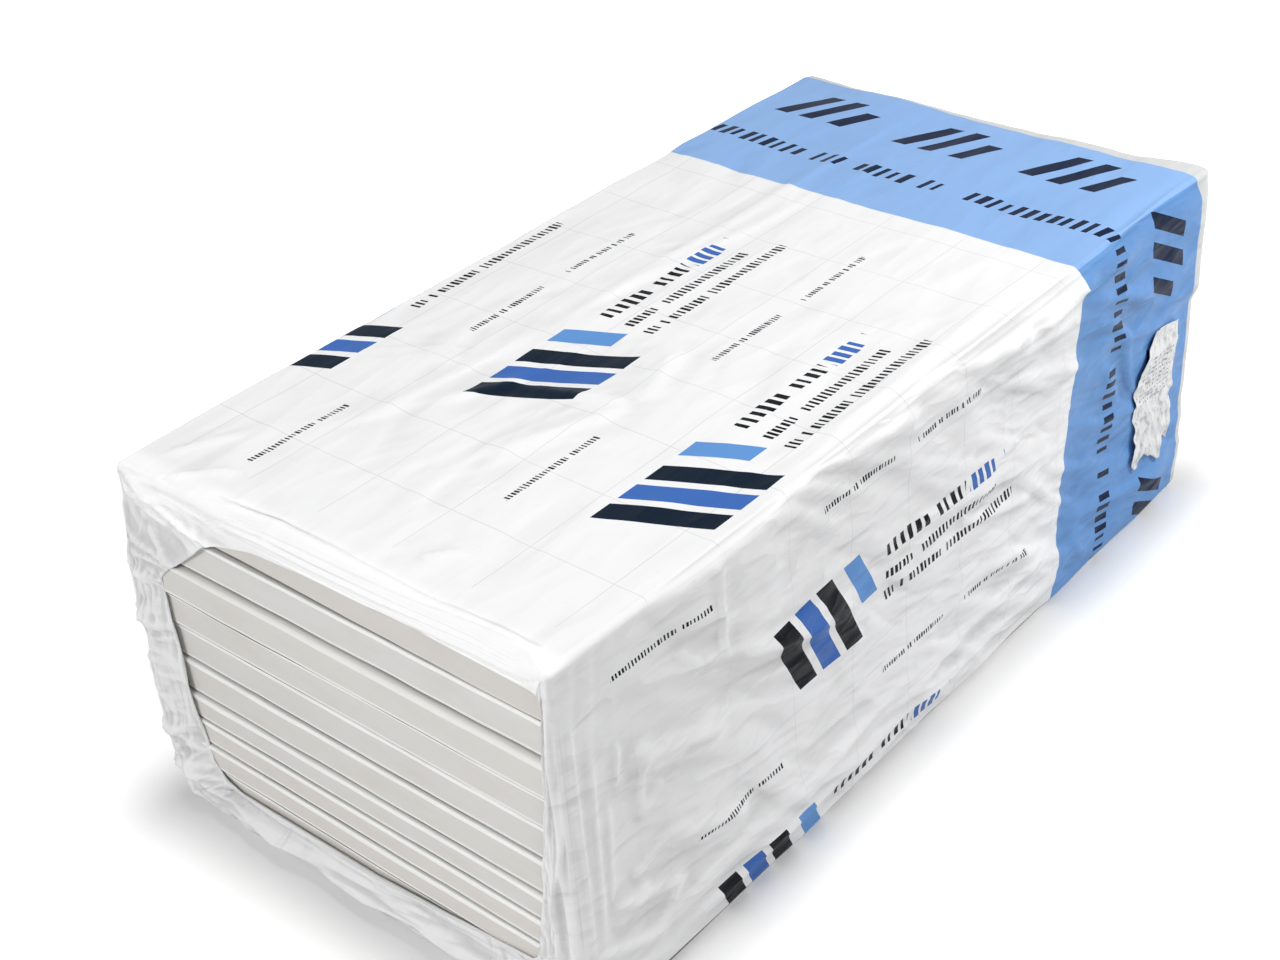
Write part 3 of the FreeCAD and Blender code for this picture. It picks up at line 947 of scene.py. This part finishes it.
    # The blue band: groups of leaning bars and a row of strokes, round the pack.
    step = p["bandStep"]
    turn = (around / step + 0.5).rest() * step - step / 2
    block = bar(along, turn, -0.044, 0.022, 0.520, 0.078, 0.55)
    block = block.most(bar(along, turn, -0.004, 0.022, 0.520, 0.078, 0.55))
    block = block.most(bar(along, turn, 0.036, 0.022, 0.508, 0.054, 0.55))
    small = hatch(along, around, -9.0, 9.0, 0.392, 0.030, 0.0165, 13)
    colour = graph.paint(colour, shade(p["bandNavy"]), block.most(small) * inBand)

    # Fine crinkle of the sheet, longer along the pack than round it: sharp crests where a noise
    # crosses its middle, weaker on the top, where the sheet lies on the boards.
    fine = graph.noise(graph.stretched(mapped, (58.0, 17.0, 1.0)), 1.0, 1.0, 0.4)
    broad = graph.noise(graph.stretched(mapped, (22.0, 7.0, 1.0)), 1.0, 1.0, 0.4)
    height = 1 - (fine - 0.5).size() * 0.8 - (broad - 0.5).size() * 2.6
    slackness = 0.25 + 0.75 * ((around.size() - 0.29) / 0.03).eased()
    height = height * slackness

    # Crumples of the lips: sharp crests in all directions.
    crumple = graph.noise(graph.stretched(mapped, (9.0, 32.0, 1.0), 0.4), 1.0, 2.0, 0.5)
    onLip = ((-0.600 - along) / 0.02).eased() * slackness
    height = height - (crumple - 0.5).size() * onLip * 2.4

    # The valleys of folds gather shade.
    colour = graph.paint(colour, (0, 0, 0, 1), folded.most(0.0) * 0.24)
    roughness = 0.30 + 0.16 * broad
    return graph.feed(Base_Color=colour, Roughness=roughness, Normal=graph.relief(height, 0.0065, 0.9))


film = buildSleeve(filmMaterial())
print("film sleeve:", len(film.data.polygons), "faces")


# Boards

board = dict(
    edgeFold=0.0014,        # radius of the worn edges of a core
    wornShadedBoard=2,            # the board that sticks out, counted from 0, has rounder edges and a greyer facing, painted shade on its ledge
    wear=0.0022,            # added to the radius of its edges
    facing=0.0016,          # thickness of a facing's turned edge
    lipDrop=0.0048,         # how far the top facing turns down over a board's end
    groove=0.0035,          # height of the dark groove under a board
    highlightLine=0.0024,       # height of the painted highlight line above the groove
    sweepSteps=72,
    # The foam's colour on each board, from the top one down. The top board's is a little darker: painted
    # shade under the film's roll.
    tints=[
        "DEDBD6", "E3E2DF", "E2E0DB", "E3E1DD", "E2E0DC", "E2E0DB",
        "E3E1DD", "E3E0DB", "E3E0DB", "E2DFD9", "E1DDD7",
    ],
)


def slabSweep(name, y, runs, material, node):
    # Runs of points in the XZ plane, joined to a closed section at each step along Y, swept from
    # one side of the board to the other and closed with flat ends.
    x = np.concatenate([run[0] for run in runs], axis=1)
    z = np.concatenate([run[1] for run in runs], axis=1)
    points = np.stack([x, np.broadcast_to(y[:, None], x.shape), z], axis=-1)
    steps, count = x.shape
    faces = gridFaces(steps, count, closed=True)
    faces.append(list(range(count)))
    faces.append([(steps - 1) * count + i for i in range(count)][::-1])
    piece = putMesh(name, points, faces, material, smoothShade=False)
    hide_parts(node)


def foamMaterial(index):
    graph = Graph("foam_%02d" % (index + 1), Roughness=0.85, Specular_IOR_Level=0.25)
    place = graph.add("ShaderNodeTexCoord", {}, {}, "Object")
    y, z = graph.parts(place)[1:]
    cells = graph.noise(place, 900.0, 2.0, 0.6)
    blotch = graph.noise(graph.stretched(place, (1.0, 14.0, 40.0)), 1.0, 3.0)
    tint = shade(board["tints"][index])
    colour = graph.paint(tint, shade("CFC8BD"), (blotch - 0.45).most(0.0) * 0.7)
    colour = graph.paint(colour, shade("F4F3F0"), (cells - 0.52).most(0.0) * 0.8)
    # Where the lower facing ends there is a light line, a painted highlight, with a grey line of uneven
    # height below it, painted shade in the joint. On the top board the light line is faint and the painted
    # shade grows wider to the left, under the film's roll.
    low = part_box("board_%02d_core" % (index + 1))[0].z + board["groove"]
    up = z - low
    uneven = graph.noise(graph.stretched(place, (1.0, 9.0, 1.0)), 1.0, 2.0)
    paintedHighlight = (up < board["highlightLine"]) * (0.55 + 0.45 * uneven) * (0.2 if index == 0 else 1.0)
    colour = graph.paint(colour, shade("FBFBF9"), paintedHighlight)
    # Painted shade in the joint: a grey line of uneven height, wider to the left on the top board.
    grey = uneven * 0.0034 - 0.0024
    if index == 0:
        grey = grey + ((y + 0.14) / 0.30).eased() * 0.0046
    colour = graph.paint(colour, shade("77756F"), up < grey)
    return graph.feed(Base_Color=colour, Normal=graph.relief(cells, 0.0004, 0.5))


def facingMaterial(name, tint):
    graph = Graph(name, Roughness=0.42, Metallic=0.1, Specular_IOR_Level=0.6)
    place = graph.add("ShaderNodeTexCoord", {}, {}, "Object")
    wear = graph.noise(graph.stretched(place, (3.0, 22.0, 90.0)), 1.0, 3.0)
    colour = graph.paint(shade(tint), shade("E6E5E1"), (wear - 0.5).most(0.0) * 1.4)
    return graph.feed(Base_Color=colour, Roughness=0.34 + 0.2 * wear, Normal=graph.relief(wear, 0.0006, 0.4))


def buildBoard(index, facing):
    name = "board_%02d" % (index + 1)
    low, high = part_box(name + "_core")
    steps = board["sweepSteps"]
    y = np.linspace(low.y, high.y, steps)
    seed = 100 + 7 * index
    wear = board["wear"] if index == board["wornShadedBoard"] else 0.0
    fold = board["edgeFold"] * (1.0 + 0.7 * softNoise(y * 9, y * 0 + index, seed)) + wear
    dent = 0.0007 * layeredNoise(y * 8, y * 0 + 0.5, seed + 1)

    def corner(x, z, wide, high, start, points=5):
        # A quarter of an ellipse round (x, z), from the start angle on, for every step.
        angle = np.radians(start + np.linspace(0, 90, points))
        return x[:, None] + wide[:, None] * np.cos(angle), z[:, None] + high[:, None] * np.sin(angle)

    nearX, farX = low.x + dent, high.x + dent
    bottom, top = low.z + 0 * y, high.z + 0 * y
    lowerFold = board["groove"] * (0.75 + 0.35 * softNoise(y * 7, y * 0 + index, seed + 3))
    if index == 0:
        lowerFold = lowerFold + 0.0048 * smooth((y + 0.10) / 0.25)
    runs = [
        corner(farX - lowerFold, bottom + lowerFold, lowerFold, lowerFold, -90),
        corner(farX - fold, top - fold, fold, fold, 0),
        corner(nearX + fold, top - fold, fold, fold, 90),
        corner(nearX + lowerFold, bottom + lowerFold, lowerFold, lowerFold, 180),
    ]
    slabSweep(name + "_core_foam", y, runs, foamMaterial(index), name + "_core")

    # The top facing turns down over both ends of the board; the lower one ends flush.
    t = board["facing"]
    drop = board["lipDrop"] * (1.0 + 0.25 * softNoise(y * 14, y * 0 + 3.3, seed + 2)) + 0.3 * wear
    skin, gap = top + 0.0005, 0.0002
    bend = t + 0.0003 + wear + 0 * y
    inX, inZ = bend - t + gap, bend - 0.0004
    hang = skin - drop
    runs = [
        (np.stack([farX + t], axis=1), np.stack([hang], axis=1)),
        corner(farX + t - bend, skin - bend, bend, bend, 0),
        corner(nearX - t + bend, skin - bend, bend, bend, 90),
        (np.stack([nearX - t, nearX - gap], axis=1), np.stack([hang, hang], axis=1)),
        [part[:, ::-1] for part in corner(nearX - t + bend, skin - bend, inX, inZ, 90)],
        [part[:, ::-1] for part in corner(farX + t - bend, skin - bend, inX, inZ, 0)],
        (np.stack([farX + gap], axis=1), np.stack([hang], axis=1)),
    ]
    slabSweep(name + "_top_facing_foil", y, runs, facing, name + "_top_facing")

    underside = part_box(name + "_bottom_facing")
    inset = 0.006
    x = np.stack([farX - inset, farX - inset, nearX + inset, nearX + inset], axis=1)
    z = np.stack([0 * y + underside[k].z for k in (0, 1, 1, 0)], axis=1)
    node = name + "_bottom_facing"
    slabSweep(node + "_foil", y, [(x, z)], facing, node)


cleanFoil = facingMaterial("facing", "FAFAF8")
# The board that sticks out gets a greyer facing: painted shade on the ledge it shows.
shadedLedgeFoil = facingMaterial("facing_shaded_ledge", "F1F0ED")
for index in range(boardCount):
    buildBoard(index, shadedLedgeFoil if index == board["wornShadedBoard"] else cleanFoil)
print("boards:", boardCount)


# Paper label

label = dict(
    middle=(0.508, 0.200),      # x and height above the floor
    size=(0.099, 0.180),
    tilt=4.0,                   # degrees
    lift=0.0016,
    columns=64,
    rows=112,
)


def buildLabel(material):
    # A sheet of paper that follows the film below it, with its own crumples, folded edges and
    # torn lower part.
    halves = [np.linspace(-0.5, 0.5, label[count]) for count in ("columns", "rows")]
    u, v = np.meshgrid(*halves)
    ragged = 0.0025 * softNoise(v * 7, u * 0 + 2, 81) * np.sign(u) + 0.0010 * softNoise(v * 23, u * 0, 82)
    cut = 0.45 * smooth((v - 0.20) / 0.45) * (0.5 - u) + 0.10 * smooth((-0.10 - v) / 0.1)
    across = (u + cut) * label["size"][0] + ragged * (2 * np.abs(u)) ** 3
    torn = 0.020 * softNoise(u * 5, v * 0, 83) * np.clip(-2 * v, 0, 1) ** 3
    torn = torn - 0.008 * u * np.clip(2 * v, 0, 1) ** 3
    upward = v * label["size"][1] + torn
    x, z = rotated(across, upward, label["tilt"])
    x, z = x + label["middle"][0], z + label["middle"][1]
    way = sleeve["halfWidth"] + sleeve["height"] - z
    under = wrinkles(way, x)
    crumple = 0.0022 * creaseNoise(u * 2.5 + v, v * 4 - u, 84) + 0.0010 * creaseNoise(u * 7, v * 10, 85)
    fold = 0.0045 * bell((v + 0.19 - 0.3 * u) / 0.030) + 0.0020 * bell((v - 0.32) / 0.07)
    height = under + label["lift"] + np.maximum(crumple + fold, -0.0005) + 0.001
    points = np.stack([x, -sleeve["halfWidth"] - height, z], axis=-1)
    points = bulges(points)
    faces = gridFaces(label["rows"], label["columns"], closed=False)
    piece = putMesh("pack_label_paper", points, faces, material)
    layer = piece.data.uv_layers.new(name="paper")
    flat = np.stack([u, v], axis=-1).reshape(-1, 2)
    corners = np.zeros(len(piece.data.loops), dtype=int)
    piece.data.loops.foreach_get("vertex_index", corners)
    layer.data.foreach_set("uv", flat[corners].ravel())
    thick = piece.modifiers.new("paper", "SOLIDIFY")
    thick.thickness = 0.0004
    thick.offset = -1.0
    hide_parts("pack_label")
    return piece


def paperMaterial():
    graph = Graph("label_paper", Roughness=0.5, Specular_IOR_Level=0.4)
    mapped = graph.add("ShaderNodeUVMap", {"uv_map": "paper"}, {})
    u, v = graph.parts(mapped)[:2]
    row = (v * 26).rest() < 0.42
    broken = graph.noise(graph.stretched(mapped, (20.0, 26.0, 1.0)), 1.0, 1.0) > 0.5
    inside = (u.size() < 0.40) * (v > -0.05) * (v < 0.34)
    colour = graph.paint(shade("E6E6E6"), shade("7A7C82"), row * broken * inside * 0.75)
    crease = graph.noise(mapped, 14.0, 4.0)
    colour = graph.paint(colour, shade("B6B7BB"), ((crease - 0.5) * 5).most(0.0))
    return graph.feed(Base_Color=colour, Normal=graph.relief(crease, 0.004, 0.7))


buildLabel(paperMaterial())
print("label is on")
